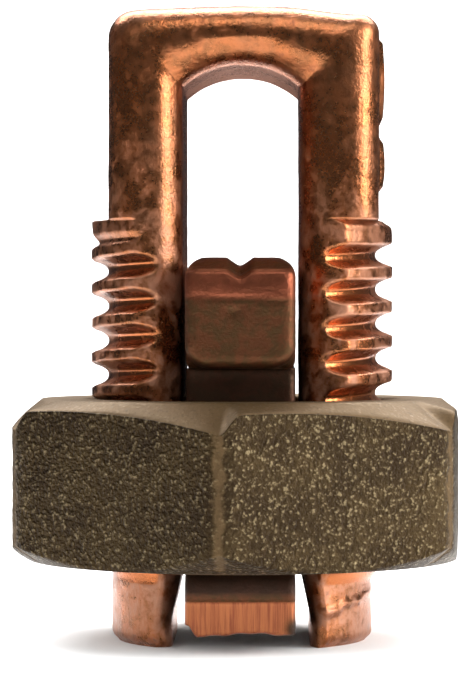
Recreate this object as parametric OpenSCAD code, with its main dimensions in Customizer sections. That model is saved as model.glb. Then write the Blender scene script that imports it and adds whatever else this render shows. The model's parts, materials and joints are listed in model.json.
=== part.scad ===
/* [Thread] */
// Major diameter of the screw thread on the two legs (7/16 in)
thread_d = 11.11; // [10.9:0.01:11.3]
// Pitch of the right-hand thread (20 turns to the inch)
pitch = 1.27; // [1.0:0.01:1.5]
// Height above the leg ends at which the thread begins
thread_from = 1.95; // [1.5:0.05:2.4]
// Height of the shoulder above the thread
thread_to = 15.4; // [14.9:0.05:15.8]
// Play between the thread of the legs and the thread of the nut, measured along the radius
thread_play = 0.09; // [0.07:0.01:0.12]

/* [Split bolt] */
// Height from the leg ends to the crown of the bow
bolt_h = 23.1; // [22.6:0.1:26]
// Width across the outside of the two legs above the thread
bolt_w = 10.04; // [9.6:0.02:10.4]
// Thickness of the forging from front to back
bolt_t = 8.14; // [7.6:0.02:8.6]
// Width of the conductor slot between the legs
slot_w = 4.2; // [4.1:0.02:4.4]
// Height at which the slot's walls meet its arched ceiling
spring_z = 20.15; // [19.9:0.05:20.5]
// Rise of the arched ceiling above that height
arch_rise = 0.81; // [0.6:0.01:1.0]

/* [Hex nut] */
// Width across the flats of the nut (5/8 in)
nut_af = 15.875; // [15:0.005:17]
// Height of the nut
nut_h = 5.9; // [5.4:0.05:6.4]
// Height of the nut's underside above the leg ends
nut_z = 3.0; // [2.9:0.05:3.2]
// Direction that one flat of the nut faces, turned from the front towards the right
nut_turn = 25.5; // [0:0.5:60]

/* [Pressure bar] */
// Play of the bar in the slot, on each side
bar_play = 0.15; // [0.1:0.01:0.2]
// Height of the bar's top above the leg ends
bar_top = 14.0; // [13.8:0.05:14.4]
// Height of the block above the nut
head_h = 3.95; // [3.4:0.05:4.2]
// Length of that block from front to back
head_l = 12.0; // [11.4:0.1:13]
// Length of the foot under the nut
foot_l = 12.1; // [11.8:0.1:12.6]

/* [Hidden] */
$fn = 48;
// Overshoot of a cut past the face it opens
over = 0.5;

// Thread form: a 60 degree vee with a flat crest and a rounded root
thread_depth = 0.55 * pitch;
major_r = thread_d / 2;
root_r = major_r - thread_depth;
crest_r = major_r - 0.02;
root_rise = 0.06;
crest_share = 0.15;
root_share = 0.12;
play_share = thread_play * tan(30) / pitch;
steps_per_turn = 36;
// Unthreaded ends: the collar under the shoulder, and the pilot below the thread with its lead
collar_h = 0.4;
runout_h = 0.6;
pilot_r = root_r - 0.08;
pilot_chamfer = 0.35;
lead_h = 0.7;

// Legs: nearly full-round front and back edges
leg_w = (bolt_w - slot_w) / 2;
edge_r = 0.48 * leg_w;
core_t = bolt_t - 2 * edge_r;
// Bow
crown_r = 0.95;
corner_r = 0.95;
crown_drop = 0.14;
arch_r = (slot_w * slot_w / 4 + arch_rise * arch_rise) / (2 * arch_rise);
arch_z = spring_z + arch_rise - arch_r;
// The slot opens out over its lowest part
mouth_spread = 0.38;
mouth_z = [1.1, 2.9];
// Two low plain pads on the right-hand flank: [from, to] heights
pads = [[18.95, 21.95], [16.5, 18.35]];
pad_l = 4.6;
pad_proud = 0.2;

// Nut: blunted corners, and domed chamfers that fall about 30 degrees from a rim to the corners
nut_corner_r = nut_af / sqrt(3) - 0.2;
nut_top_r = nut_af / 2 - 0.55;
nut_foot_r = nut_af / 2;
dome_angle = 27;
// Countersinks of the nut's bore at 45 degrees: wider than the thread at the face, gone below its root
sink_r = major_r + thread_play + 0.12;
sink_tip_r = root_r - 0.3;
sink_h = sink_r - sink_tip_r;

// Pressure bar
bar_w = slot_w - 2 * bar_play;
head_z = bar_top - head_h;
head_r = 0.42;
neck_l = 2 * sqrt(pow(root_r + thread_play - 0.16, 2) - bar_w * bar_w / 4);
groove_w = 1.1;
groove_d = 0.36;
foot_z = 0.65;
lip_h = 1.05;
lip_play = 0.05;
lip_r = 0.3;
shear_in = 0.12;

// Outline of a rectangle with rounded corners, centred
module rounded(w, h, r) {
    offset(r = r) square([w - 2 * r, h - 2 * r], center = true);
}

// Points of one pitch of the thread as [share of the pitch, radius], from one crest to the next.
// grow makes the same form larger all round, as the cutter for a nut.
function thread_form(grow) =
    let (wider = grow * play_share / max(thread_play, 0.001),
         c = crest_share / 2 + wider, r = root_share / 2 - wider / 2)
    [[0, crest_r + grow], [c, crest_r + grow],
     [0.5 - r, root_r + grow + root_rise], [0.5, root_r + grow],
     [0.5 + r, root_r + grow + root_rise], [1 - c, crest_r + grow]];

// A threaded rod from below z0 to above z1: one helical ribbon of facets whose turns share their
// edges, closed at each end by a fan of facets round a point on the axis
module threaded_rod(z0, z1, grow = 0) {
    form = thread_form(grow);
    k = len(form);
    first = floor(z0 / pitch) - 2;
    turns = ceil(z1 / pitch) - first + 2;
    n = turns * steps_per_turn;
    function ribbon_point(j, f) =
        let (a = 360 * j / steps_per_turn)
        [f[1] * cos(a), f[1] * sin(a), pitch * (first + j / steps_per_turn + f[0])];
    ribbon = [for (j = [0:n], f = form) ribbon_point(j, f)];
    last_edge = [for (j = [n - steps_per_turn + 1:n]) ribbon_point(j, [1, form[0][1]])];
    ends = [[0, 0, pitch * first], [0, 0, pitch * (first + turns + 1)]];
    edge_at = len(ribbon);
    low = edge_at + len(last_edge);
    // Index of point i of the form at step j: the end of one turn is the start of the turn above
    function at(j, i) = i < k ? j * k + i
        : j + steps_per_turn <= n ? (j + steps_per_turn) * k
        : edge_at + j + steps_per_turn - n - 1;
    sides = [for (j = [0:n - 1], i = [0:k - 1])
        each [[at(j, i), at(j + 1, i + 1), at(j + 1, i)], [at(j, i), at(j, i + 1), at(j + 1, i + 1)]]];
    bottom = concat(
        [for (j = [0:steps_per_turn - 1]) [low, at(j, 0), at(j + 1, 0)]],
        [for (i = [0:k - 1]) [low, at(0, i + 1), at(0, i)]]);
    top = concat(
        [for (j = [n - steps_per_turn:n - 1]) [low + 1, at(j + 1, k), at(j, k)]],
        [for (i = [0:k - 1]) [low + 1, at(n, i), at(n, i + 1)]]);
    polyhedron(concat(ribbon, last_edge, ends), concat(sides, bottom, top), convexity = 12);
}

// The two legs seen from above, with rounded edges beside the slot; the outer side reaches far out,
// or to the outside of the bolt
module leg_plan(outer) {
    for (side = [0, 1])
        mirror([side, 0])
            translate([(slot_w / 2 + outer) / 2, 0])
                rounded(outer - slot_w / 2, bolt_t, edge_r);
}

// Both legs up to the shoulder: pilot, thread with a tapered start, run-out and plain collar
module threaded_legs() {
    lead_z = thread_from + lead_h;
    intersection() {
        union() {
            intersection() {
                threaded_rod(thread_from, thread_to);
                rotate_extrude()
                    polygon([[0, thread_from], [pilot_r - 0.1, thread_from], [major_r + 0.1, lead_z],
                             [major_r + 0.1, thread_to], [0, thread_to]]);
            }
            rotate_extrude()
                polygon([[0, thread_to - collar_h - runout_h], [root_r - 0.2, thread_to - collar_h - runout_h],
                         [major_r, thread_to - collar_h], [major_r, thread_to], [0, thread_to]]);
            translate([0, 0, pilot_chamfer])
                cylinder(r = pilot_r, h = lead_z - pilot_chamfer);
            cylinder(r1 = pilot_r - pilot_chamfer, r2 = pilot_r, h = pilot_chamfer);
        }
        linear_extrude(thread_to)
            leg_plan(2 * major_r);
    }
}

// The bow seen from the front: flat top with a slight crown and rounded corners
module bow_front() {
    top_r = (bolt_w * bolt_w / 4 + crown_drop * crown_drop) / (2 * crown_drop);
    intersection() {
        translate([0, bolt_h / 2])
            rounded(bolt_w, bolt_h, corner_r);
        translate([0, bolt_h - top_r])
            circle(r = top_r, $fn = 720);
    }
}

// The arched ceiling of the slot with its rounded rims, as one solid of revolution about the arch's axis
module arch_cut() {
    rim = [for (a = [0:10:90]) [arch_r + crown_r * (1 - cos(a)), bolt_t / 2 - crown_r * (1 - sin(a))]];
    half = concat([[0, 0]], [[arch_r, 0]], rim, [[arch_r + crown_r, bolt_t], [0, bolt_t]]);
    translate([0, 0, arch_z])
        rotate([90, 0, 0])
            for (side = [0, 1])
                mirror([0, 0, side])
                    rotate_extrude($fn = 96)
                        polygon(half);
}

module bow() {
    difference() {
        intersection() {
            translate([0, 0, spring_z])
                linear_extrude(bolt_h)
                    rounded(bolt_w, bolt_t, edge_r);
            rotate([90, 0, 0])
                linear_extrude(bolt_t, center = true)
                    bow_front();
            rotate([90, 0, 90])
                linear_extrude(bolt_w, center = true)
                    translate([0, bolt_h / 2])
                        rounded(bolt_t, bolt_h, crown_r);
        }
        arch_cut();
    }
}

// A low pad with a slightly domed face, standing proud of the right-hand flank
module pad(z0, z1) {
    half = (z1 - z0) / 2;
    dome_r = (half * half + pad_proud * pad_proud) / pad_proud;
    translate([0, 0, (z0 + z1) / 2])
        intersection() {
            translate([bolt_w / 2 + pad_proud - dome_r, 0, 0])
                rotate([90, 0, 0])
                    cylinder(r = dome_r, h = pad_l, center = true, $fn = 180);
            translate([bolt_w / 2 - 0.6, -pad_l / 2, -half])
                cube([1.2, pad_l, 2 * half]);
        }
}

module split_bolt() {
    spread = slot_w / 2 + mouth_spread;
    color([0.58, 0.31, 0.20])
        difference() {
            union() {
                threaded_legs();
                translate([0, 0, thread_to])
                    linear_extrude(spring_z - thread_to)
                        leg_plan(bolt_w / 2);
                bow();
                for (p = pads)
                    pad(p[0], p[1]);
            }
            rotate([90, 0, 0])
                linear_extrude(2 * bolt_t, center = true)
                    polygon([[-spread, -over], [-spread, mouth_z[0]], [-slot_w / 2, mouth_z[1]],
                             [slot_w / 2, mouth_z[1]], [spread, mouth_z[0]], [spread, -over]]);
        }
}

// Ball whose surface crosses the plane z = 0 on a circle of radius rim_r, dome_angle away from level there
module dome(rim_r) {
    translate([0, 0, -rim_r / tan(dome_angle)])
        sphere(r = rim_r / sin(dome_angle), $fn = 180);
}

module hex_nut() {
    color([0.42, 0.35, 0.22])
        translate([0, 0, nut_z])
            difference() {
                intersection() {
                    rotate([0, 0, nut_turn - 120])
                        cylinder(r = nut_af / sqrt(3), h = nut_h, $fn = 6);
                    cylinder(r = nut_corner_r, h = nut_h);
                    translate([0, 0, nut_h])
                        dome(nut_top_r);
                    mirror([0, 0, 1])
                        dome(nut_foot_r);
                }
                translate([0, 0, -nut_z])
                    threaded_rod(nut_z - 1, nut_z + nut_h + 1, thread_play);
                translate([0, 0, -over])
                    cylinder(r1 = sink_r + over, r2 = sink_tip_r, h = sink_h + over);
                translate([0, 0, nut_h - sink_h])
                    cylinder(r1 = sink_tip_r, r2 = sink_r + over, h = sink_h + over);
            }
}

// The block above the nut, with a shallow groove along its top that cradles the conductor
module bar_head() {
    difference() {
        translate([0, 0, head_z])
            intersection() {
                linear_extrude(head_h)
                    rounded(bar_w, head_l, head_r);
                rotate([90, 0, 0])
                    linear_extrude(head_l, center = true)
                        translate([0, head_h / 2])
                            rounded(bar_w, head_h, head_r);
                rotate([90, 0, 90])
                    linear_extrude(bar_w, center = true)
                        translate([0, head_h / 2])
                            rounded(head_l, head_h, head_r);
            }
        rotate([90, 0, 0])
            linear_extrude(head_l + 1, center = true)
                polygon([[-groove_w, bar_top + groove_d], [0, bar_top - groove_d],
                         [groove_w, bar_top + groove_d]]);
    }
}

// The foot: an upset lip close under the nut, and the sheared end face just below it
module bar_foot() {
    lip_top = nut_z - lip_play;
    translate([0, 0, lip_top - lip_h])
        rotate([90, 0, 90])
            linear_extrude(bar_w, center = true)
                translate([0, lip_h / 2])
                    rounded(foot_l, lip_h, lip_r);
    translate([-bar_w / 2, shear_in - foot_l / 2, foot_z])
        cube([bar_w, foot_l - 2 * shear_in, lip_top - lip_h / 2 - foot_z]);
}

module pressure_bar() {
    neck_from = nut_z - lip_play - lip_h / 2;
    color([0.45, 0.27, 0.18]) {
        bar_head();
        translate([-bar_w / 2, -neck_l / 2, neck_from])
            cube([bar_w, neck_l, head_z + head_h / 2 - neck_from]);
        bar_foot();
    }
}

split_bolt();
hex_nut();
pressure_bar();
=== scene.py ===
"""Looks of a split bolt connector: a forged copper bolt, a cast bronze nut and a copper pressure bar."""
import json
import logging
import math
from dataclasses import dataclass, field
from enum import Enum
from typing import Any, Mapping, Sequence

import bmesh
import bpy
import numpy as np
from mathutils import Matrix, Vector


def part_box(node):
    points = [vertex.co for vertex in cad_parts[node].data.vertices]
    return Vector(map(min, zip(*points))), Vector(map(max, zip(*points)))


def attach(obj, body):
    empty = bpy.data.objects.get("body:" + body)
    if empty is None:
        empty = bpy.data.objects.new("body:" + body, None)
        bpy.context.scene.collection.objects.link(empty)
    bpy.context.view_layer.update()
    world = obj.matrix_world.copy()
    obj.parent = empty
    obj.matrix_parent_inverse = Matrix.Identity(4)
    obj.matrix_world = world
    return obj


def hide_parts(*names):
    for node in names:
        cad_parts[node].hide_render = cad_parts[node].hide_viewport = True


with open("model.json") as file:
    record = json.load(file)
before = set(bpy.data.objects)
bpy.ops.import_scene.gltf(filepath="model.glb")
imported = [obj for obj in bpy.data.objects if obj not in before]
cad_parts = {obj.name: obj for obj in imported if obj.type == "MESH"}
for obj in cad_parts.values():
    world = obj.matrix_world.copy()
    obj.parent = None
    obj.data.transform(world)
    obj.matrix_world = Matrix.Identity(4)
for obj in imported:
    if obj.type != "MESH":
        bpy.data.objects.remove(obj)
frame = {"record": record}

log = logging.getLogger("split_bolt_connector")

MM = 0.001
Array = np.ndarray


def box_mm(node: str) -> tuple[Array, Array]:
    """Lowest and highest corner of a CAD node, in millimetres."""
    low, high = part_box(node)
    return np.array(low) / MM, np.array(high) / MM


def place_object(name: str, data: bpy.types.ID) -> bpy.types.Object:
    """Makes an object from its data and links it to the scene."""
    obj = bpy.data.objects.new(name, data)
    bpy.context.scene.collection.objects.link(obj)
    return obj


def look_at(obj: bpy.types.Object, place: Vector, target: Vector) -> None:
    """Puts a camera or light at a place and points it at a target."""
    obj.location = place
    obj.rotation_mode = "QUATERNION"
    obj.rotation_quaternion = (target - place).to_track_quat("-Z", "Y")


def smooth_min(a: Array, b: Array, blend: float) -> Array:
    """The smaller of two values, rounded over where they are closer than blend."""
    near = np.maximum(blend - np.abs(a - b), 0) / blend
    return np.minimum(a, b) - near * near * blend / 4


def ease(x: Array, low: float, high: float) -> Array:
    """Runs smoothly from 0 at low to 1 at high."""
    t = np.clip((x - low) / (high - low), 0, 1)
    return t * t * (3 - 2 * t)


def hump(x: Array, centre: Array | float, width: float) -> Array:
    """A smooth bump of height 1 about centre."""
    return np.exp(-(((x - centre) / width) ** 2))


# ---------------------------------------------------------------- node graphs


class Graph:
    """A shader or geometry node tree that is written as Python expressions."""

    def __init__(self, tree: bpy.types.NodeTree) -> None:
        """Starts on an empty tree.

        Args:
            tree: the node tree to fill.
        """
        self.tree = tree
        tree.nodes.clear()

    def node(self, kind: str, settings: Mapping[str, Any] | None = None,
             inputs: Mapping[str | int, Any] | None = None, out: str | int = 0) -> "Value":
        """Adds one node.

        Args:
            kind: the node's type name.
            settings: attributes to set first; "stops" fills a colour ramp.
            inputs: socket name or index to a number, a tuple, a datablock or a Value.
            out: the output to hand back.

        Returns:
            The chosen output as a Value.
        """
        made = self.tree.nodes.new(kind)
        for name, value in (settings or {}).items():
            if name == "stops":
                self._fill_ramp(made.color_ramp, value)
            else:
                setattr(made, name, value)
        for name, value in (inputs or {}).items():
            socket = made.inputs[name]
            if isinstance(value, Value):
                self.tree.links.new(value.socket, socket)
            else:
                socket.default_value = value
        return Value(self, made.outputs[out] if len(made.outputs) else None)

    @staticmethod
    def _fill_ramp(ramp: bpy.types.ColorRamp, stops: Sequence[tuple[float, float]]) -> None:
        """Sets a ramp's stops, each a place and a grey level."""
        while len(ramp.elements) < len(stops):
            ramp.elements.new(0.5)
        for element, (place, level) in zip(ramp.elements, stops):
            element.position = place
            element.color = (level, level, level, 1)

    def noise(self, at: "Value", per_mm: float, detail: float = 3.0, rough: float = 0.55,
              twist: float = 0.0) -> "Value":
        """Noise from 0 to 1 whose features are about 1 / per_mm millimetres.

        Args:
            at: the point in millimetres.
            per_mm: features to the millimetre.
            detail: octaves.
            rough: how strong the finer octaves are.
            twist: distortion of the pattern.

        Returns:
            The noise as a number.
        """
        return self.node("ShaderNodeTexNoise", None, {
            "Vector": at, "Scale": per_mm, "Detail": detail, "Roughness": rough, "Distortion": twist})

    def cells(self, at: "Value", per_mm: float, feature: str = "F1") -> "Value":
        """Distance within random cells of about 1 / per_mm millimetres."""
        return self.node("ShaderNodeTexVoronoi", {"feature": feature}, {"Vector": at, "Scale": per_mm})

    def stretch(self, at: "Value", factors: Sequence[float]) -> "Value":
        """The point with each axis multiplied by its own factor."""
        return self.node("ShaderNodeVectorMath", {"operation": "MULTIPLY"}, {0: at, 1: tuple(factors)})

    def blend(self, low: Any, high: Any, share: "Value") -> "Value":
        """A colour between low and high.

        Args:
            low: the colour at share 0.
            high: the colour at share 1.
            share: how much of high.

        Returns:
            The mixed colour.
        """
        made = self.tree.nodes.new("ShaderNodeMix")
        made.data_type = "RGBA"
        colours = [s for s in made.inputs if s.type == "RGBA"]
        for socket, value in zip([made.inputs[0], *colours], [share, low, high]):
            if isinstance(value, Value):
                self.tree.links.new(value.socket, socket)
            else:
                socket.default_value = (*value, 1.0)
        return Value(self, next(s for s in made.outputs if s.type == "RGBA"))


class Value:
    """One output of a node; arithmetic on it adds Math nodes."""

    def __init__(self, graph: Graph, socket: bpy.types.NodeSocket | None) -> None:
        """Wraps a socket.

        Args:
            graph: the graph that the socket belongs to.
            socket: the node's output.
        """
        self.graph, self.socket = graph, socket

    def _math(self, operation: str, *values: "Value | float", clamp: bool = False) -> "Value":
        """Adds a Math node on numbers and Values."""
        return self.graph.node("ShaderNodeMath", {"operation": operation, "use_clamp": clamp},
                               dict(enumerate(values)))

    def __add__(self, other: "Value | float") -> "Value":
        """self + other."""
        return self._math("ADD", self, other)

    def __radd__(self, other: float) -> "Value":
        """other + self."""
        return self._math("ADD", other, self)

    def __sub__(self, other: "Value | float") -> "Value":
        """self - other."""
        return self._math("SUBTRACT", self, other)

    def __rsub__(self, other: float) -> "Value":
        """other - self."""
        return self._math("SUBTRACT", other, self)

    def __mul__(self, other: "Value | float") -> "Value":
        """self * other."""
        return self._math("MULTIPLY", self, other)

    def __rmul__(self, other: float) -> "Value":
        """other * self."""
        return self._math("MULTIPLY", other, self)

    def most(self, other: "Value | float") -> "Value":
        """The larger of self and other."""
        return self._math("MAXIMUM", self, other)

    def clamp(self) -> "Value":
        """self held between 0 and 1."""
        return self._math("ADD", self, 0.0, clamp=True)

    def step(self, low: float, high: float) -> "Value":
        """Runs smoothly from 0 at low to 1 at high, which may be the smaller."""
        return self.graph.node("ShaderNodeMapRange", {"interpolation_type": "SMOOTHSTEP"},
                               {"Value": self, "From Min": low, "From Max": high,
                                "To Min": 0.0, "To Max": 1.0})

    def part(self, axis: str) -> "Value":
        """One component, X, Y or Z, of a vector."""
        return self.graph.node("ShaderNodeSeparateXYZ", None, {0: self}, axis)


# ---------------------------------------------------------------- finishes


@dataclass(frozen=True)
class Finish:
    """A procedural metal surface. Colours are linear; sizes are in millimetres."""

    name: str = "metal"

    def material(self) -> bpy.types.Material:
        """Builds the material.

        Returns:
            The finished material.
        """
        made = bpy.data.materials.new(self.name)
        made.use_nodes = True
        graph = Graph(made.node_tree)
        at = graph.stretch(graph.node("ShaderNodeTexCoord", out="Object"), (1 / MM,) * 3)
        graph.node("ShaderNodeOutputMaterial", None, {"Surface": self.surface(graph, at)})
        return made

    def surface(self, graph: Graph, at: Value) -> Value:
        """The shader; each finish gives its own."""
        raise NotImplementedError

    @staticmethod
    def mark(graph: Graph, name: str) -> Value:
        """A vertex attribute of the mesh, such as how deep a point is in the thread."""
        return graph.node("ShaderNodeAttribute", {"attribute_name": name}, out="Fac")

    @staticmethod
    def bump(graph: Graph, height: Value, depth: float) -> Value:
        """A bumped normal from a height of 0 to 1 and a depth in millimetres."""
        return graph.node("ShaderNodeBump", None,
                          {"Strength": 1.0, "Distance": depth * MM, "Height": height})

    @staticmethod
    def metal(graph: Graph, colour: Value, metallic: Value, rough: Value, normal: Value) -> Value:
        """A Principled metal."""
        return graph.node("ShaderNodeBsdfPrincipled", None, {
            "Base Color": colour, "Metallic": metallic, "Roughness": rough, "Normal": normal})


@dataclass(frozen=True)
class ForgedCopper(Finish):
    """Forged copper: brown oxide over orange metal, pink scale low on the legs, dark stains."""

    name: str = "forged_copper"
    brown: tuple[float, float, float] = (0.22, 0.083, 0.033)
    orange: tuple[float, float, float] = (0.40, 0.122, 0.040)
    pink: tuple[float, float, float] = (0.37, 0.175, 0.105)
    dark: tuple[float, float, float] = (0.04, 0.018, 0.012)

    def surface(self, graph: Graph, at: Value) -> Value:
        """Mixes the copper's tones by place and noise."""
        height, across = at.part("Z"), at.part("X")
        thread, inner = self.mark(graph, "thread"), self.mark(graph, "inner")
        clouds = graph.noise(at, 0.55, 4.0, 0.6, 0.4)
        mottle = graph.noise(at, 2.2, 4.0, 0.65, 0.3)
        fine = graph.noise(at, 9.0, 3.0, 0.6)
        drawn = graph.noise(graph.stretch(at, (1.0, 1.0, 0.25)), 1.7, 3.0, 0.6)
        low = height.step(21.0, 10.0)
        pink = (clouds * 0.5 + mottle * 0.5).step(0.44, 0.60) * (low * 0.75 + 0.15)
        pink = pink * (1.0 - thread.step(0.15, 0.6)) * (1.0 - inner)
        stain = mottle.step(0.56, 0.70) * drawn.step(0.40, 0.62)
        colour = graph.blend(self.brown, self.orange, (mottle * 0.6 + drawn * 0.4).step(0.38, 0.66))
        colour = graph.blend(colour, self.pink, pink)
        colour = graph.blend(colour, self.orange, (thread.step(0.25, 0.7) * 0.85 + inner * 0.7).clamp())
        colour = graph.blend(colour, self.dark, (stain * 0.42).clamp())
        rough = (0.22 + clouds * 0.12 + pink * 0.18 + stain * 0.2 + (fine - 0.5) * 0.12
                 - thread * 0.05).clamp()
        pits = graph.noise(at, 5.5, 4.0, 0.6, 0.2)
        relief = (pits * 0.55 + fine * 0.25 + graph.noise(graph.stretch(at, (1, 1, 0.2)), 6.0) * 0.2)
        relief = relief * (1.0 - thread * 0.7)
        normal = self.bump(graph, relief, 0.035)
        return self.metal(graph, colour, 0.96 - pink * 0.25 - stain * 0.2, rough, normal)


@dataclass(frozen=True)
class CastBronze(Finish):
    """Cast bronze: a coarse dark grain on the faces, bright tips, and a machined tan chamfer."""

    name: str = "cast_bronze"
    skin: tuple[float, float, float] = (0.024, 0.014, 0.006)
    olive: tuple[float, float, float] = (0.052, 0.033, 0.013)
    tip: tuple[float, float, float] = (0.30, 0.235, 0.13)
    tan: tuple[float, float, float] = (0.105, 0.064, 0.026)

    def surface(self, graph: Graph, at: Value) -> Value:
        """Mixes the cast skin and the machined chamfer."""
        machined, corner = self.mark(graph, "machined"), self.mark(graph, "corner")
        grain = graph.noise(at, 5.4, 3.0, 0.6, 0.3)
        crumbs = 1.0 - graph.cells(at, 7.5)
        fine = graph.noise(at, 13.0, 3.0, 0.6)
        clouds = graph.noise(at, 0.5, 3.0, 0.6)
        edge = (graph.noise(at, 3.0, 2.0) - 0.5) * 0.9
        cut = (machined + edge * (machined * (1.0 - machined) * 4.0)).step(0.35, 0.6)
        worn = (corner + (graph.noise(at, 2.4, 3.0) - 0.5) * 0.8).step(0.62, 0.9)
        bare = cut.most(worn * 0.8)
        tips = (grain * 0.6 + crumbs * 0.25 + fine * 0.15).step(0.52, 0.66)
        colour = graph.blend(self.skin, self.olive, (clouds * 0.5 + grain * 0.5).step(0.35, 0.65))
        colour = graph.blend(colour, self.tip, tips * 0.45)
        brushed = graph.noise(at, 7.0, 4.0, 0.7)
        tan = graph.blend(self.tan, self.skin, (brushed.step(0.52, 0.75) * 0.5).clamp())
        colour = graph.blend(colour, tan, bare)
        rough = (0.42 + fine * 0.16 - tips * 0.16 + bare * 0.06).clamp()
        height = (grain * 0.62 + crumbs * 0.26 + fine * 0.12) * (1.0 - bare * 0.86)
        normal = self.bump(graph, height, 0.13)
        return self.metal(graph, colour, 0.9 - bare * 0.15, rough, normal)


@dataclass(frozen=True)
class BarCopper(Finish):
    """The bar's copper: a brown olive skin, redder where rubbed, and a bright sheared end."""

    name: str = "bar_copper"
    skin: tuple[float, float, float] = (0.105, 0.038, 0.016)
    olive: tuple[float, float, float] = (0.070, 0.036, 0.014)
    rubbed: tuple[float, float, float] = (0.21, 0.058, 0.028)
    sheared: tuple[float, float, float] = (0.34, 0.115, 0.045)
    # painted shade: the colour of the shade on the neck under the head and on the lip under the nut, also
    # used for a dark chip at the foot
    shade_and_chip: tuple[float, float, float] = (0.032, 0.016, 0.010)

    def surface(self, graph: Graph, at: Value) -> Value:
        """Mixes the oxidised skin and the sheared foot."""
        shear, shade_and_chip = self.mark(graph, "sheared"), self.mark(graph, "shade_and_chip")
        rubbed = self.mark(graph, "rubbed")
        mottle = graph.noise(at, 2.4, 4.0, 0.65, 0.4)
        fine = graph.noise(at, 10.0, 3.0, 0.6)
        lines = graph.noise(graph.stretch(at, (1.0, 1.0, 0.04)), 9.0, 4.0, 0.7)
        colour = graph.blend(self.skin, self.olive, mottle.step(0.40, 0.62))
        redness = rubbed * (mottle * 1.5 + 0.1) + (fine - 0.5) * 0.3
        colour = graph.blend(colour, self.rubbed, redness.clamp())
        fresh = graph.blend(self.sheared, self.rubbed, lines.step(0.40, 0.66))
        colour = graph.blend(colour, fresh, shear)
        # painted shade darkens the neck under the head and the lip under the nut; the same mark darkens a
        # chip at the foot's front corner
        colour = graph.blend(colour, self.shade_and_chip, (shade_and_chip + (mottle - 0.5) * 0.2).clamp() * shade_and_chip)
        rough = (0.40 + mottle * 0.14 - shear * 0.12 - rubbed * 0.08).clamp()
        height = (mottle * 0.5 + fine * 0.5) * (1.0 - shear) + lines * shear * 0.7
        normal = self.bump(graph, height, 0.045)
        return self.metal(graph, colour, 0.9 - shade_and_chip * 0.1, rough, normal)


@dataclass(frozen=True)
class Paper(Finish):
    """The plain pale floor and backdrop."""

    name: str = "paper"

    def surface(self, graph: Graph, at: Value) -> Value:
        """A white surface with a trace of tooth."""
        tooth = graph.noise(at, 0.8, 2.0)
        colour = graph.blend((0.86, 0.86, 0.86), (0.88, 0.88, 0.88), tooth)
        glow = graph.blend((0.0, 0.0, 0.0), (0.55, 0.55, 0.55), at.part("Z").step(2.0, 60.0))
        return graph.node("ShaderNodeBsdfPrincipled", None, {
            "Base Color": colour, "Roughness": 0.9, "Emission Color": glow, "Emission Strength": 1.0})


# ---------------------------------------------------------------- meshes


@dataclass
class Skin:
    """A closed grid of points that becomes one mesh: rows along the piece, columns round it."""

    points: Array
    marks: dict[str, Array] = field(default_factory=dict)
    ring: bool = False

    def faces(self) -> list[tuple[int, ...]]:
        """Quads between neighbouring rows, and a cap on each end unless the rows make a ring."""
        rows, columns, _ = self.points.shape
        index = np.arange(rows * columns).reshape(rows, columns)
        low = index if self.ring else index[:-1]
        high = np.roll(index, -1, axis=0) if self.ring else index[1:]
        quads = np.stack([low, np.roll(low, -1, 1), np.roll(high, -1, 1), high], -1).reshape(-1, 4)
        made = [tuple(q) for q in quads.tolist()]
        if not self.ring:
            made += [tuple(index[0][::-1].tolist()), tuple(index[-1].tolist())]
        return made

    def to_object(self, name: str, material: bpy.types.Material) -> bpy.types.Object:
        """Makes the object, with its normals pointing out.

        Args:
            name: the piece's name.
            material: its finish.

        Returns:
            The object, at the origin.
        """
        mesh = bpy.data.meshes.new(name)
        mesh.from_pydata((self.points.reshape(-1, 3) * MM).tolist(), [], self.faces())
        for mark, values in self.marks.items():
            made = mesh.attributes.new(mark, "FLOAT", "POINT")
            made.data.foreach_set("value", np.asarray(values, dtype=np.float32).ravel())
        mesh.validate()
        mesh.materials.append(material)
        obj = place_object(name, mesh)
        face_out(obj)
        mesh.shade_smooth()
        return obj


def face_out(obj: bpy.types.Object) -> None:
    """Turns a closed mesh's faces outwards."""
    work = bmesh.new()
    work.from_mesh(obj.data)
    bmesh.ops.remove_doubles(work, verts=work.verts, dist=1e-7)
    bmesh.ops.recalc_face_normals(work, faces=work.faces)
    if work.calc_volume(signed=True) < 0:
        bmesh.ops.reverse_faces(work, faces=work.faces)
    work.to_mesh(obj.data)
    work.free()


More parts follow.
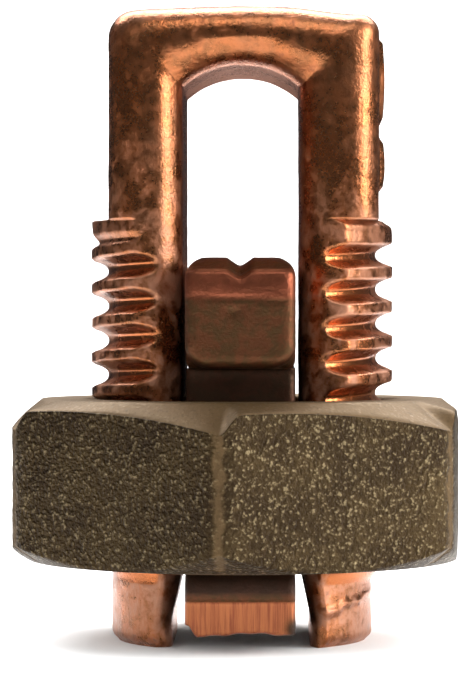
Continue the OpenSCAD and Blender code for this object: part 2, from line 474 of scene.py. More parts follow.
@dataclass(frozen=True)
class Relief:
    """A geometry-node tree that pushes a surface in and out by noise, where its mark says."""

    amount: float
    per_mm: float
    seed: float
    mark: str = "relief"
    stretch: tuple[float, float, float] = (1.0, 1.0, 1.0)

    def tree(self) -> bpy.types.NodeTree:
        """Builds the tree, with its sizes as named inputs."""
        tree = bpy.data.node_groups.new("surface_relief", "GeometryNodeTree")
        face = tree.interface
        face.new_socket("Geometry", in_out="INPUT", socket_type="NodeSocketGeometry")
        for name in ("Amount", "Features", "Seed"):
            face.new_socket(name, in_out="INPUT", socket_type="NodeSocketFloat")
        face.new_socket("Stretch", in_out="INPUT", socket_type="NodeSocketVector")
        face.new_socket("Finish", in_out="INPUT", socket_type="NodeSocketMaterial")
        face.new_socket("Geometry", in_out="OUTPUT", socket_type="NodeSocketGeometry")
        graph = Graph(tree)
        given = tree.nodes.new("NodeGroupInput")
        value = {s.name: Value(graph, s) for s in given.outputs if s.name}
        place = graph.node("ShaderNodeVectorMath", {"operation": "MULTIPLY"},
                           {0: graph.node("GeometryNodeInputPosition"), 1: value["Stretch"]})
        noise = graph.node("ShaderNodeTexNoise", {"noise_dimensions": "4D"}, {
            "Vector": place, "Scale": value["Features"], "W": value["Seed"], "Detail": 3.0})
        mark = graph.node("GeometryNodeInputNamedAttribute", {"data_type": "FLOAT"}, {"Name": self.mark})
        push = (noise - 0.5) * 2.0 * value["Amount"] * mark
        offset = graph.node("ShaderNodeVectorMath", {"operation": "SCALE"},
                            {0: graph.node("GeometryNodeInputNormal"), "Scale": push})
        moved = graph.node("GeometryNodeSetPosition", None,
                           {"Geometry": value["Geometry"], "Offset": offset})
        whole = graph.node("GeometryNodeRealizeInstances", None, {"Geometry": moved})
        dressed = graph.node("GeometryNodeSetMaterial", None,
                             {"Geometry": whole, "Material": value["Finish"]})
        graph.node("NodeGroupOutput", None, {"Geometry": dressed})
        return tree

    def press(self, obj: bpy.types.Object) -> None:
        """Applies the relief to an object's mesh.

        Args:
            obj: the piece, with its finish in its first slot.
        """
        apply_tree(obj, self.tree(), {
            "Amount": self.amount * MM, "Features": self.per_mm / MM, "Seed": self.seed,
            "Stretch": self.stretch, "Finish": obj.data.materials[0]})


def keep_inside(obj: bpy.types.Object, node: str) -> None:
    """Holds a piece's points inside the box of the CAD node that it stands for.

    Args:
        obj: the piece.
        node: the node.
    """
    low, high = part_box(node)
    flat = np.empty(len(obj.data.vertices) * 3, dtype=np.float32)
    obj.data.vertices.foreach_get("co", flat)
    held = np.clip(flat.reshape(-1, 3), np.array(low) + 1e-7, np.array(high) - 1e-7)
    obj.data.vertices.foreach_set("co", held.astype(np.float32).ravel())
    obj.data.update()


def apply_tree(obj: bpy.types.Object, tree: bpy.types.NodeTree, values: Mapping[str, Any]) -> None:
    """Runs a geometry-node tree on an object and keeps the result as its plain mesh.

    Args:
        obj: the object.
        tree: the tree.
        values: input name to value.
    """
    modifier = obj.modifiers.new("work", "NODES")
    modifier.node_group = tree
    for item in tree.interface.items_tree:
        if item.item_type == "SOCKET" and item.in_out == "INPUT" and item.name in values:
            modifier[item.identifier] = values[item.name]
    evaluated = obj.evaluated_get(bpy.context.evaluated_depsgraph_get())
    mesh = bpy.data.meshes.new_from_object(evaluated)
    mesh.name = obj.name
    obj.modifiers.remove(modifier)
    obj.data = mesh


# ---------------------------------------------------------------- the thread


@dataclass(frozen=True)
class Thread:
    """The right-hand screw thread that the legs and the nut share, in millimetres."""

    major: float
    pitch: float
    depth: float = 0.62
    crest: float = 0.36
    groove_at: float = 11.66

    def radius(self, turn: Array, height: Array) -> Array:
        """Radius of the threaded surface.

        Args:
            turn: angle round the axis in radians.
            height: height along the axis.

        Returns:
            The radius at each point.
        """
        phase = (height - self.groove_at) / self.pitch - turn / math.tau
        from_groove = np.abs(phase - np.round(phase)) * self.pitch
        half_open = (self.pitch - self.crest) / 2
        hollow = self.depth * (1.10 * np.abs(from_groove / half_open) ** 2.5 - 1)
        return smooth_min(self.major + hollow, np.full_like(hollow, self.major), 0.05)


class Side(Enum):
    """The bolt's two legs, by the sign of X."""

    LEFT = -1
    RIGHT = 1


class Zone(Enum):
    """What the outside of a leg is at a given height."""

    THREAD = "thread"
    STRIP = "strip"


@dataclass
class SplitBolt:
    """The forged bolt: a bow, two legs with a slot between them, and the thread outside them."""

    finish: Finish
    thread: Thread
    node: str = "split_bolt"
    body: str = "bolt"
    slot: float = 4.2
    half_left: float = 4.80
    half_right: float = 4.98
    edge: float = 1.40
    shoulder: float = 15.4
    collar: float = 0.42
    pilot: float = 4.80
    thread_low: float = 2.25
    spring: float = 20.15
    arch_rise: float = 0.81
    bow_from: float = 19.0
    crown_drop: float = 0.14
    left_corner: float = 1.0
    right_corner: float = 0.7
    mouth_spread: float = 0.38
    mouth: tuple[float, float] = (1.1, 2.9)
    rows_per_turn: int = 16
    outer_columns: int = 112
    wall_columns: int = 22
    arc_columns: int = 7
    bow_rows: int = 150
    pads: tuple[tuple[float, float], ...] = ((18.95, 21.95), (16.5, 18.35))
    reliefs: tuple[Relief, ...] = (Relief(0.045, 0.55, 3.0), Relief(0.012, 2.4, 7.0))

    def __post_init__(self) -> None:
        """Takes the overall height and thickness from the frame."""
        low, high = box_mm(self.node)
        self.height = float(high[2])
        self.half_thick = float(high[1])

    # sections

    def mouth_at(self, z: float) -> float:
        """Distance of the slot's wall from the axis; the slot opens out at its low end."""
        low, high = self.mouth
        share = float(np.clip((high - z) / (high - low), 0, 1))
        return self.slot / 2 + self.mouth_spread * share

    def section(self, z: float, side: Side, zone: Zone) -> tuple[Array, Array]:
        """Outline of one leg at one height, as seen on the right-hand leg.

        Args:
            z: height.
            side: which leg, because the thread isn't the same on both.
            zone: the screwed part or the plain strip above the shoulder.

        Returns:
            Coordinates across and from front to back, going round from the outer front.
        """
        wall = self.mouth_at(z)
        cx, cy, edge = wall + self.edge, self.half_thick - self.edge, self.edge
        reach = math.atan2(cy, cx) + math.asin(edge / math.hypot(cx, cy))
        spread = np.linspace(-1, 1, self.outer_columns)
        turn = reach * (spread - 0.10 * np.sin(math.pi * spread))
        ux, uy = np.cos(turn), np.abs(np.sin(turn))
        flat = self.half_thick / np.maximum(uy, 1e-9)
        along, aside = cx * ux + cy * uy, cx * uy - cy * ux
        round_off = along + np.sqrt(np.maximum(edge * edge - aside * aside, 0))
        blank = np.where(flat * ux < cx, round_off, flat)
        if zone is Zone.THREAD:
            world = turn if side is Side.RIGHT else math.pi - turn
            outer = smooth_min(self.outer_radius(world, z, side), blank, 0.03)
        else:
            outer = np.minimum(self.strip_radius(ux, uy, side), blank)
        back = np.linspace(reach + math.pi / 2, math.pi, self.arc_columns + 1)[1:]
        arc = np.stack([cx + edge * np.cos(back), cy + edge * np.sin(back)])
        wall_y = np.linspace(cy, -cy, self.wall_columns + 2)[1:-1]
        x = np.concatenate([outer * ux, arc[0], np.full(self.wall_columns, wall), arc[0][::-1]])
        y = np.concatenate([outer * np.sin(turn), arc[1], wall_y, -arc[1][::-1]])
        return x, y

    def half_width(self, side: Side) -> float:
        """Distance from the axis to the outside of one leg above the shoulder."""
        return self.half_left if side is Side.LEFT else self.half_right

    def strip_radius(self, ux: Array, uy: Array, side: Side) -> Array:
        """Distance from the axis to the outside of the forged strip, along the given directions."""
        edge, half, thick = self.edge, self.half_width(side), self.half_thick
        square = np.minimum(half / np.maximum(ux, 1e-9), thick / np.maximum(uy, 1e-9))
        cx, cy = half - edge, thick - edge
        along, aside = cx * ux + cy * uy, cx * uy - cy * ux
        corner = along + np.sqrt(np.maximum(edge * edge - aside * aside, 0))
        in_corner = (square * ux > cx) & (square * uy > cy)
        return np.where(in_corner, corner, square)

    def outer_radius(self, turn: Array, z: float, side: Side) -> Array:
        """Radius of the leg's outside below the shoulder: pilot, thread, run-out and collar."""
        height = np.full_like(turn, z)
        full = self.thread.radius(turn, height)
        top = self.shoulder - self.collar
        worn = self.thread.major + 0.02 * np.sin(turn * 5 + z * 3.1) - 0.02
        run_out = ease(height, top - 0.75, top + 0.05)
        full = full + (worn - full) * run_out
        low = self.thread_low + (0.45 if side is Side.LEFT else 0.0)
        start = ease(height, low, low + 0.5)
        pilot = np.full_like(turn, self.pilot) - 0.25 * hump(height, 0.0, 0.18)
        radius = pilot + (np.maximum(full, pilot) - pilot) * start
        if side is Side.RIGHT:
            radius = radius - 0.30 * ease(height, self.shoulder - 0.32, self.shoulder) ** 2
        return radius

    # paths of the bow

    def inner_path(self) -> tuple[Array, Array]:
        """The slot's wall and arched ceiling from left to right, and the share of the way."""
        half, rise = self.slot / 2, self.arch_rise
        radius = (half * half + rise * rise) / (2 * rise)
        swing = math.asin(half / radius)
        turn = np.linspace(-swing, swing, 81)
        arch = np.stack([radius * np.sin(turn), self.spring + rise - radius * (1 - np.cos(turn))], 1)
        path = np.concatenate([[[-half, self.bow_from]], arch, [[half, self.bow_from]]])
        share = np.concatenate([[0], np.linspace(0.2, 0.8, 81), [1]])
        return path, share

    def outer_path(self) -> tuple[Array, Array]:
        """The bow's outline from left to right, and the share of the way at each point."""
        half_l, half, top = self.half_left, self.half_right, self.height
        turn = np.linspace(0, math.pi / 2, 17)
        lr, rr = self.left_corner, self.right_corner
        shoulder_z = top - self.crown_drop
        left = np.stack([-half_l + lr - lr * np.cos(turn), shoulder_z - lr + lr * np.sin(turn)], 1)
        across = np.linspace(-half_l + lr, half - rr, 60)[1:-1]
        rise = self.crown_drop * (1 - (across / (half - lr)) ** 2).clip(0)
        crown = np.stack([across, shoulder_z + rise], 1)
        right = np.stack([half - rr + rr * np.sin(turn), shoulder_z - 0.16 - rr + rr * np.cos(turn)], 1)
        crown[:, 1] -= 0.16 * ease(crown[:, 0], 1.0, half - rr)
        path = np.concatenate([[[-half_l, self.bow_from]], left, crown, right, [[half, self.bow_from]]])
        step = np.linalg.norm(np.diff(path, axis=0), axis=1)
        length = np.concatenate([[0], np.cumsum(step)])
        first, last = length[1 + 8], length[-2 - 8]
        share = np.interp(length, [0, first, last, length[-1]], [0, 0.2, 0.8, 1])
        return path, share

    def bow(self) -> Array:
        """Rows of points over the bow, from the left leg to the right."""
        x, y = self.section(self.bow_from, Side.LEFT, Zone.STRIP)
        out = (x - self.slot / 2) / (self.half_left - self.slot / 2)
        inner, inner_share = self.inner_path()
        outer, outer_share = self.outer_path()
        rows = []
        for share in np.linspace(0, 1, self.bow_rows):
            near = np.array([np.interp(share, inner_share, inner[:, k]) for k in (0, 1)])
            far = np.array([np.interp(share, outer_share, outer[:, k]) for k in (0, 1)])
            place = near + (far - near) * out[:, None]
            rows.append(np.stack([place[:, 0], y, place[:, 1]], 1))
        return np.array(rows)

    def leg(self, side: Side) -> tuple[Array, Array]:
        """Rows of points up one leg, and how deep in the thread each lies."""
        step = self.thread.pitch / self.rows_per_turn
        lead = self.thread_low - 0.1
        pilot_z = np.concatenate([[0.0, 0.05, 0.12], np.arange(0.22, lead, 0.11)])
        thread_z = np.arange(lead, self.shoulder - 0.02, step)
        strip_z = np.arange(self.shoulder + 0.06, self.bow_from - 0.05, 0.13)
        rows, depth = [], []
        for z in [*pilot_z, *thread_z, self.shoulder]:
            x, y = self.section(float(z), side, Zone.THREAD)
            rows.append(np.stack([x * side.value, y, np.full_like(x, z)], 1))
            plain_x, plain_y = self.section(float(z), side, Zone.STRIP)
            full = np.minimum(np.hypot(plain_x, plain_y), self.thread.major)
            cut = np.where(full < self.thread.major - 0.3, 0.03, 0.06)
            deep = np.clip((full - cut - np.hypot(x, y)) / self.thread.depth, 0, 1)
            deep[self.outer_columns:] = 0
            depth.append(deep * ease(np.array(z), lead, lead + 0.3))
        for z in [self.shoulder + 0.015, *strip_z]:
            x, y = self.section(float(z), side, Zone.STRIP)
            rows.append(np.stack([x * side.value, y, np.full_like(x, z)], 1))
            depth.append(np.zeros_like(x))
        return np.array(rows), np.array(depth)

    def crease(self, x: Array, y: Array, z: Array) -> Array:
        """How far the front moves back in the crease over the arch, and forward in the swell beside it."""
        front = ease(-y, 1.5, 3.6)
        fold = hump(z, 21.62 - 0.03 * x * x, 0.11) * ease(x, -1.7, -1.0) * ease(-x, -1.4, -0.8)
        swell = hump(z, 21.2, 0.30) * hump(x, 2.9, 1.6)
        return (0.10 * fold - 0.03 * swell) * front

    def flash(self, x: Array, y: Array, z: Array) -> Array:
        """Share of the thin flash that stands up at the bow's right-hand corner."""
        corner = hump(x, self.half_right, 0.55) * hump(z, self.height - 0.35, 0.30)
        return corner * ease(1.6 - np.abs(y), 0, 0.5)

    def pad(self, x: Array, y: Array, z: Array, low: float, high: float) -> Array:
        """How far one bare pad, from low to high, stands out of the right-hand leg."""
        middle, half = (low + high) / 2, (high - low) / 2
        over = ease(half - np.abs(z - middle), -0.04, 0.10) * ease(2.3 - np.abs(y), 0.0, 0.2)
        dome = 0.15 + 0.07 * (1 - ((z - middle) / half) ** 2).clip(0)
        return np.where(x > self.half_right - 0.3, over * dome, 0)

    def cut_ends(self, x: Array, y: Array, z: Array) -> Array:
        """The front with the two oblique cuts at the leg ends."""
        face = -self.half_thick
        cut = (0.12 + (x + 4.6) * 0.42 - z).clip(0) * (x < 0) * (z < 1.4)
        y = np.where((y < 0) & (x < 0), np.maximum(y, face + 0.02 + 1.1 * cut - 0.2 * (cut > 0)), y)
        nick = (0.55 - (x - 2.4) * 0.30 - z).clip(0) * (x > 0)
        return np.where((y < 0) & (x > 0) & (nick > 0), np.maximum(y, face + 0.9 * nick), y)

    def burr(self, x: Array, y: Array, z: Array) -> Array:
        """How far the torn burr low on the right-hand leg stands out, and the flat below it goes in."""
        line = 1.30 + 0.33 * (x - 3.15) + 0.05 * np.sin(7 * x) + 0.03 * np.sin(17 * x + 1)
        on_burr = ease(x, 2.7, 3.3) * ease(-y, 0.4, 1.4)
        return (0.14 * ease(line - z, 0.05, 0.22) - 0.15 * hump(z, line, 0.10)) * on_burr

    def work(self, p: Array) -> Array:
        """Adds what forging and cutting left: a crease on the bow, a flash, cut leg ends, two pads."""
        x, y, z = p[..., 0].copy(), p[..., 1].copy(), p[..., 2].copy()
        y += self.crease(x, y, z)
        flash = self.flash(x, y, z)
        x += 0.05 * flash
        z += 0.20 * flash
        for low, high in self.pads:
            x += self.pad(x, y, z, low, high)
        y = self.cut_ends(x, y, z)
        y += self.burr(x, y, z)
        return np.stack([x, y, np.clip(z, 0, self.height)], -1)

    def build(self) -> bpy.types.Object:
        """Makes the bolt's mesh.

        Returns:
            The bolt as one piece.
        """
        left, left_depth = self.leg(Side.LEFT)
        right, right_depth = self.leg(Side.RIGHT)
        bow = self.bow()
        points = self.work(np.concatenate([left, bow, right[::-1]]))
        depth = np.concatenate([left_depth, np.zeros(bow.shape[:2]), right_depth[::-1]])
        rows, columns = depth.shape
        inner = np.zeros((rows, columns))
        inner[:, self.outer_columns + self.arc_columns // 2: columns - self.arc_columns // 2] = 1
        rough = 1 - 0.75 * np.clip(depth * 2, 0, 1)
        rough[:, self.outer_columns + self.arc_columns:columns - self.arc_columns] = 0.25
        marks = {"thread": depth, "inner": inner, "relief": rough}
        piece = Skin(points, marks).to_object("bolt_forging", self.finish.material())
        for relief in self.reliefs:
            relief.press(piece)
        return piece


@dataclass
class HexNut:
    """The cast nut: rough sides, a machined chamfer on top, and the thread in its bore."""

    finish: Finish
    thread: Thread
    node: str = "hex_nut"
    body: str = "nut"
    rim: float = 7.39
    foot_rim: float = 7.94
    sink: float = 5.78
    play: float = 0.10
    columns: int = 432
    side_rows: int = 50
    bore_rows: int = 80
    chamfer_least: float = 0.33
    chamfer_most: float = 1.05
    chamfer_bias: float = 2.2
    reliefs: tuple[Relief, ...] = (Relief(0.030, 0.9, 11.0), Relief(0.030, 3.2, 5.0))

    def __post_init__(self) -> None:
        """Takes the nut's place and hexagon from the frame."""
        low, high = box_mm(self.node)
        self.low, self.high = float(low[2]), float(high[2])
        flat = next(m for m in frame["record"]["mounts"] if m["name"] == "nut_flat_front")
        self.apothem = float(np.hypot(*flat["pos_m"][:2])) / MM
        self.facing = math.atan2(flat["axis"][1], flat["axis"][0])

    def hexagon(self, turn: Array) -> tuple[Array, Array]:
        """Distance to the rounded hexagon, and the place along its face from the middle."""
        sector = (turn - self.facing + math.pi / 6) % (math.pi / 3) - math.pi / 6
        here = self.apothem / np.cos(sector)
        beside = self.apothem / np.cos(np.abs(sector) - math.pi / 3)
        return smooth_min(here, beside, 0.75), self.apothem * np.tan(sector)

    def chamfer_drop(self, along: Array) -> Array:
        """How far below the top the chamfer meets a side: deeper towards one end of each face."""
        half = self.apothem / math.sqrt(3)
        span = half + self.chamfer_bias
        growth = self.chamfer_most - self.chamfer_least
        curve = self.chamfer_least + growth * ((along + self.chamfer_bias) / span) ** 2
        near_corner = 1 - ease(along + half, 0.0, 0.85)
        return curve + (self.chamfer_most - curve) * near_corner

    def build(self) -> bpy.types.Object:
        """Makes the nut's mesh.

        Returns:
            The nut as one piece.
        """
        share = np.arange(self.columns) / self.columns * 6
        crowded = share - 0.55 * np.sin(math.tau * share) / math.tau
        turn = crowded * math.pi / 3 + self.facing + math.pi / 6
        hexagon, along = self.hexagon(turn)
        half = self.apothem / math.sqrt(3)
        top = self.high - self.chamfer_drop(along)
        foot = self.low + 0.02 + 0.72 * np.clip(np.abs(along) / half, 0, 1) ** 2
        foot_rim = np.minimum(self.foot_rim - 0.03, hexagon - 0.02)
        rows: list[tuple[Array, Array]] = []
        marks: dict[str, list[Array]] = {"machined": [], "corner": [], "relief": []}
        corner = np.clip((np.abs(along) - (half - 0.85)) / 0.85, 0, 1)

        def add(radius: Array, z: Array, machined: float, relief: float, edge: float) -> None:
            """Adds one ring of points with its marks."""
            rows.append((radius, z))
            marks["machined"].append(np.full(self.columns, machined))
            marks["corner"].append(corner * edge)
            marks["relief"].append(np.full(self.columns, relief))

        for t in np.linspace(0, 1, 8):
            add(self.sink + (foot_rim - self.sink) * t, np.full(self.columns, self.low), 0.6, 0.2, 0)
        for t in np.linspace(0, 1, 5)[1:-1]:
            add(foot_rim + (hexagon - foot_rim) * t, self.low + (foot - self.low) * t, 0.0, 0.6, 1)
        steps = np.linspace(0, 1, self.side_rows)
        for t in np.concatenate([[0, 0.008], steps[1:-1], [0.992, 1]]):
            at_edge = t in (0.0, 1.0)
            add(hexagon - 0.03 * at_edge, foot + (top - foot) * t, float(t == 1.0),
                0.15 if at_edge else 1.0, 1)
        for t in np.linspace(0, 1, 8)[1:]:
            add(hexagon + (self.rim - hexagon) * t, top + (self.high - top) * t, 1.0, 0.1, 0)
        for t in np.linspace(0, 1, 8)[1:]:
            radius = np.full(self.columns, self.rim + (self.sink - self.rim) * t)
            add(radius, np.full(self.columns, self.high), 1.0, 0.05, 0)
        for t in np.linspace(0, 1, self.bore_rows)[1:-1]:
            z = self.high + (self.low - self.high) * t
            ends = self.sink - min(self.high - z, z - self.low)
            bore = self.thread.radius(turn, np.full(self.columns, z)) + self.play
            add(np.maximum(bore, ends), np.full(self.columns, z), 1.0, 0.0, 0)
        radius, z = np.array([r for r, _ in rows]), np.array([h for _, h in rows])
        points = np.stack([radius * np.cos(turn), radius * np.sin(turn), z], -1)
        piece = Skin(points, {k: np.array(v) for k, v in marks.items()}, ring=True).to_object(
            "nut_casting", self.finish.material())
        for relief in self.reliefs:
            relief.press(piece)
        return piece


@dataclass
class PressureBar:
    """The bar in the slot: a block above the nut, a neck through it and an upset, sheared foot."""

    finish: Finish
    node: str = "pressure_bar"
    body: str = "bar"
    head_height: float = 3.95
    neck_half: float = 4.40
    lip_top: float = 2.95
    lip_low: float = 1.90
    groove_depth: float = 0.36
    groove_half: float = 0.48
    bottom_round: float = 0.85
    top_round: float = 0.75
    long_columns: int = 56
    short_columns: int = 24
    corner_columns: int = 6
    reliefs: tuple[Relief, ...] = (Relief(0.030, 0.8, 21.0), Relief(0.010, 3.5, 23.0))

    def __post_init__(self) -> None:
        """Takes the bar's extents from the frame."""
        low, high = box_mm(self.node)
        self.low, self.high = float(low[2]), float(high[2])
        self.half_x, self.half_y = float(high[0]), float(high[1])

    def loop(self, half_x: float, half_y: float, corner: float) -> Array:
        """A rounded rectangle, the same number of points on each side whatever its size."""
        corner = min(corner, half_x * 0.98, half_y * 0.98)
        sx, sy = half_x - corner, half_y - corner
        short = np.linspace(-sx, sx, self.short_columns)
        long = np.linspace(-sy, sy, self.long_columns)
        turn = np.linspace(0, math.pi / 2, self.corner_columns + 2)[1:-1]
        sides = []
        for quarter, run in enumerate((short, long, -short, -long)):
            if quarter % 2 == 0:
                sign = -1 if quarter == 0 else 1
                sides.append(np.stack([run, np.full_like(run, sign * half_y)], 1))
            else:
                sign = 1 if quarter == 1 else -1
                sides.append(np.stack([np.full_like(run, sign * half_x), run], 1))
            cx, cy = ((sx, -sy), (sx, sy), (-sx, sy), (-sx, -sy))[quarter]
            start = -math.pi / 2 + quarter * math.pi / 2
            bend = start + turn
            sides.append(np.stack([cx + corner * np.cos(bend), cy + corner * np.sin(bend)], 1))
        return np.concatenate(sides)

    def profile(self) -> list[tuple[float, float, float, float]]:
        """Height, half width, half length and corner radius of each loop from the foot's end up."""
        x, y, foot = self.half_x, self.half_y, self.half_y - 0.14
        shrink = [(self.low, x * t, foot - x * (1 - t), 0.3 * t) for t in (0.0, 0.25, 0.5, 0.72, 0.86)]
        foot_rows = [(self.low, x - 0.12, foot - 0.12, 0.3), (self.low + 0.05, x - 0.03, foot - 0.03, 0.3)]
        foot_rows += [(z, x, foot, 0.28) for z in np.arange(self.low + 0.14, self.lip_low - 0.06, 0.09)]
        lip = [(self.lip_low - 0.04, x - 0.01, foot + 0.01, 0.28), (self.lip_low + 0.02, x, y - 0.05, 0.3),
               (self.lip_low + 0.14, x, y, 0.3), (self.lip_low + 0.35, x, y, 0.32),
               (self.lip_low + 0.60, x, y - 0.02, 0.34), (self.lip_top - 0.18, x - 0.01, y - 0.12, 0.36),
               (self.lip_top - 0.05, x - 0.03, y - 0.30, 0.38), (self.lip_top, x - 0.05, y - 0.6, 0.4)]
        head_low = self.high - self.head_height
        neck = [(self.lip_top + 0.02, x - 0.02, self.neck_half + 0.2, 0.3),
                (self.lip_top + 0.15, x, self.neck_half, 0.3)]
        neck += [(z, x, self.neck_half, 0.3) for z in np.arange(self.lip_top + 0.5, head_low - 0.3, 0.35)]
        neck += [(head_low - 0.08, x, self.neck_half, 0.3), (head_low - 0.01, x, self.neck_half + 0.08, 0.3)]
        head_y = y - 0.05
        under = [(head_low, x - 0.28, self.neck_half + 0.7, 0.4),
                 (head_low + 0.01, x - 0.20, head_y - 0.5, 0.42)]
        turn = np.linspace(0.15, 1, 6) * math.pi / 2
        under += [(head_low + 0.42 * (1 - math.cos(a)), x - 0.16 * (1 - math.sin(a)),
                   head_y - 0.42 * (1 - math.sin(a)), 0.45) for a in turn]
        front = [(z, x, head_y, 0.45) for z in np.arange(head_low + 0.5, self.high - 1.12, 0.11)]
        worn = [(self.high - drop, x, head_y - back, 0.45 + back / 4) for drop, back in (
            (1.10, 0.0), (0.98, 0.0), (0.86, 0.02), (0.74, 0.04), (0.64, 0.07), (0.56, 0.09), (0.52, 0.16),
            (0.47, 0.20), (0.42, 0.24), (0.38, 0.36), (0.30, 0.48), (0.22, 0.60), (0.14, 0.74), (0.07, 0.92),
            (0.025, 1.14), (0.0, 1.4))]
        top = [(self.high, x * t, head_y - 1.4 - x * (1 - t), 0.35 * t)
               for t in np.linspace(1, 0, 16)[1:]]
        return shrink + foot_rows + lip + neck + under + front + worn + top

    @staticmethod
    def round_off(depth: Array, radius: float, most: float) -> Array:
        """How far a quarter round of a radius draws in at a depth, up to a share of the radius."""
        return radius - np.sqrt(radius ** 2 - np.minimum(depth, radius * most) ** 2)

    def work(self, p: Array) -> Array:
        """Presses the conductor groove into the top, a dimple into the front, and the foot's torn edge."""
        x, y, z = p[..., 0].copy(), p[..., 1].copy(), p[..., 2].copy()
        head_low = self.high - self.head_height
        over = ease(np.abs(y), self.neck_half + 0.1, self.neck_half + 0.6)
        below = (self.bottom_round - (z - head_low)).clip(0) * (z > head_low - 0.005)
        above = (self.top_round - (self.high - z)).clip(0)
        tuck = self.round_off(below, self.bottom_round, 0.97)
        turn_in = self.round_off(above, self.top_round, 0.96)
        x *= 1 - (tuck * over + turn_in) / self.half_x
        score = hump(z, self.high - 1.48 - 0.05 * x, 0.05) * ease(1.75 - np.abs(x), 0, 0.3)
        y -= np.sign(y) * np.where(np.abs(y) > self.half_y - 1.2, 0.07 * score, 0)
        groove = (1 - np.sqrt((x + 0.02) ** 2 + 0.01) / self.groove_half).clip(0) * self.groove_depth
        z -= groove * ease(z, self.high - 1.5, self.high - 0.3)
        front = y < -self.half_y + 1.5
        dimple = hump(x, -0.2, 0.16) * hump(z, self.high - 1.95, 0.14)
        y += np.where(front, 0.09 * dimple, 0)
        at_foot = ease(-z, -self.low - 0.45, -self.low)
        torn = 0.05 * np.sin(x * 2.1 + 0.6) + 0.025 * np.sin(x * 7.3 + 2.0) + 0.03
        z += at_foot * (torn + 0.05).clip(0)
        z += at_foot * 0.35 * ease(-x, 1.45, 1.95)
        z -= at_foot * 0.10 * hump(x, -1.55, 0.22)
        z = np.maximum(z, self.low)
        return np.stack([x, y, z], -1)

    def build(self) -> bpy.types.Object:
        """Makes the bar's mesh.

        Returns:
            The bar as one piece.
        """
        rows = self.profile()
        loops = [np.column_stack([self.loop(hx, hy, r), np.full(self.count(), z)]) for z, hx, hy, r in rows]
        points = self.work(np.array(loops))
        heights = np.repeat(np.array([r[0] for r in rows])[:, None], self.count(), axis=1)
        y = points[..., 1]
        foot = ease(-heights, -self.lip_low - 0.02, -self.lip_low + 0.04)
        sheared = foot * (np.abs(y) > self.half_y - 1.2)
        chip = hump(points[..., 0], self.half_x, 0.32) * hump(heights, self.low + 0.25, 0.38) * (y < 0)
        # painted shade mark: the neck darkens towards the head's underside and the lip darkens under the
        # nut; chip adds a dark chip at the foot's front corner
        neck = ease(heights, 3.2, 8.0) * (heights < self.high - self.head_height)
        lip = ease(heights, self.lip_low - 0.05, self.lip_low + 0.35) * (heights < 3.4)
        shade_and_chip = np.clip(lip * 0.95 + neck * 0.8 + 1.2 * chip, 0, 1)
        below_top = self.high - heights
        rubbed = ease(-below_top, -1.55, -1.4) * ease(below_top, 0.3, 0.6)
        marks = {"sheared": sheared * (1 - np.clip(chip * 1.6, 0, 1)), "shade_and_chip": shade_and_chip,
                 "rubbed": rubbed + 0.4 * ease(heights, self.high - 0.4, self.high),
                 "relief": np.where(heights < 3.4, 0.6, 1.0)}
        piece = Skin(points, marks).to_object("pressure_bar_block", self.finish.material())
        for relief in self.reliefs:
            relief.press(piece)
        return piece

    def count(self) -> int:
        """Points in each loop."""
        return 2 * (self.long_columns + self.short_columns) + 4 * self.corner_columns


# ---------------------------------------------------------------- the studio


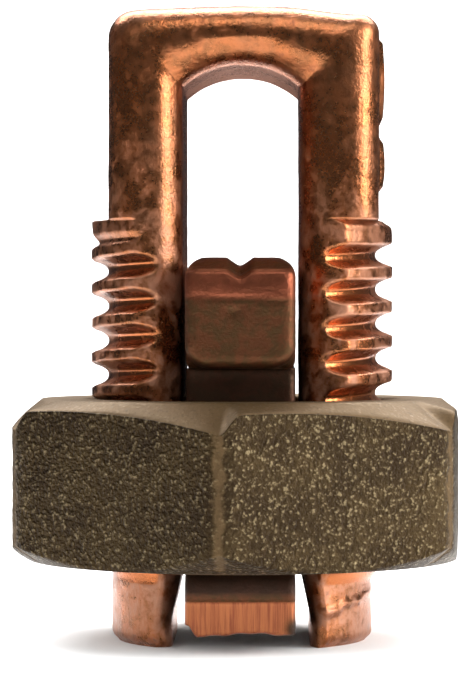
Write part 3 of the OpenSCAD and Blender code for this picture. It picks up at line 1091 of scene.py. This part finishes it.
@dataclass
class Studio:
    """A white sweep, soft lights, and the camera. Distances are in millimetres."""

    distance: float = 107.0
    camera_height: float = 11.42
    camera_side: float = 1.2
    aim: tuple[float, float, float] = (-0.28, 0.0, 11.14)
    lens: float = 154.0
    near_radius: float = 50.0
    segments: int = 96
    wall_at: float = 500.0

    def camera(self) -> None:
        """Places the camera level in front of the connector."""
        data = bpy.data.cameras.new("camera")
        data.lens = self.lens
        data.sensor_width = 36.0
        data.clip_start, data.clip_end = 0.005, 10.0
        obj = place_object("camera", data)
        place = Vector((self.camera_side, -self.distance, self.camera_height)) * MM
        look_at(obj, place, Vector(self.aim) * MM)
        bpy.context.scene.camera = obj

    def turned(self, name: str, profile: Sequence[tuple[float, float]], paper: bpy.types.Material,
               mirrored: bool) -> None:
        """Makes one round paper surface.

        Args:
            name: the surface's name.
            profile: radius and height from the middle outwards.
            paper: its finish.
            mirrored: whether the metal reflects it.
        """
        turn = np.linspace(0, math.tau, self.segments, endpoint=False)
        rings = [(r * MM * math.cos(a), r * MM * math.sin(a), z * MM) for r, z in profile for a in turn]
        index = np.arange(len(rings)).reshape(len(profile), self.segments)
        beside = np.roll(index, -1, axis=1)
        quads = np.stack([index[:-1], index[1:], beside[1:], beside[:-1]], -1).reshape(-1, 4)
        mesh = bpy.data.meshes.new(name)
        mesh.from_pydata(rings, [], [tuple(index[0].tolist()), *map(tuple, quads.tolist())])
        mesh.materials.append(paper)
        mesh.shade_smooth()
        obj = place_object(name, mesh)
        obj.visible_glossy = mirrored

    def sweep(self) -> None:
        """Lays a round floor that curves up all round; only the floor near the connector is mirrored."""
        paper = Paper().material()
        bend = 200.0
        turn = np.linspace(0, math.pi / 2, 24)
        curve = [(self.wall_at - bend + bend * math.sin(a), bend - bend * math.cos(a)) for a in turn]
        self.turned("sweep", [(20.0, 0.0), (100.0, 0.0), *curve, (self.wall_at, 700.0)],
                    paper, False)
        self.turned("near_floor", [(10.0, 0.02), (self.near_radius, 0.02)], paper, True)

    @staticmethod
    def softbox(name: str, bearing: float, rise: float, away: float, size: tuple[float, float],
                watts: float) -> None:
        """Hangs a rectangular light that faces the connector.

        Args:
            name: the light's name.
            bearing: degrees from the camera's side towards the right.
            rise: degrees above the horizon.
            away: distance in millimetres.
            size: width and height in millimetres.
            watts: power.
        """
        data = bpy.data.lights.new(name, "AREA")
        data.shape = "RECTANGLE"
        data.size, data.size_y = size[0] * MM, size[1] * MM
        data.energy = watts
        a, e = math.radians(bearing), math.radians(rise)
        way = Vector((math.sin(a) * math.cos(e), -math.cos(a) * math.cos(e), math.sin(e)))
        centre = Vector((0, 0, 10 * MM))
        look_at(place_object(name, data), centre + way * away * MM, centre)

    def lights(self) -> None:
        """Lights the set: a large box on the right, a top light, and a dim room."""
        self.softbox("key_right", 78, 20, 260, (80, 200), 0.9)
        self.softbox("front_left", -40, 38, 300, (60, 120), 0.04)
        self.softbox("top", 15, 66, 320, (160, 120), 0.34)
        self.softbox("wall_wash", 180, 55, 330, (500, 160), 3.2)
        world = bpy.data.worlds.new("room")
        world.use_nodes = True
        world.node_tree.nodes["Background"].inputs["Color"].default_value = (0.06, 0.06, 0.065, 1)
        world.node_tree.nodes["Background"].inputs["Strength"].default_value = 1.0
        bpy.context.scene.world = world
        bpy.context.scene.view_settings.view_transform = "Standard"

    def build(self) -> None:
        """Sets up camera, sweep and lights."""
        self.camera()
        self.sweep()
        self.lights()


def main() -> None:
    """Builds each piece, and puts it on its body."""
    logging.basicConfig(level=logging.INFO, format="%(name)s: %(message)s")
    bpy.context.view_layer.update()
    Studio().build()
    coupling = frame["record"]["behaviour"]["couplings"][0]
    pitch = abs(coupling["ratio"]) * math.tau / MM
    major = float(box_mm("split_bolt")[1][0])
    thread = Thread(major=major, pitch=pitch)
    parts = (
        (SplitBolt(ForgedCopper(), thread), "forged_copper"),
        (HexNut(CastBronze(), thread), "cast_bronze"),
        (PressureBar(BarCopper()), "bar_copper"),
    )
    for part, slot in parts:
        piece = part.build()
        keep_inside(piece, part.node)
        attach(piece, part.body)
        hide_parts(part.node)
        log.info("%s: %d faces", piece.name, len(piece.data.polygons))


if __name__ == "__main__":
    main()
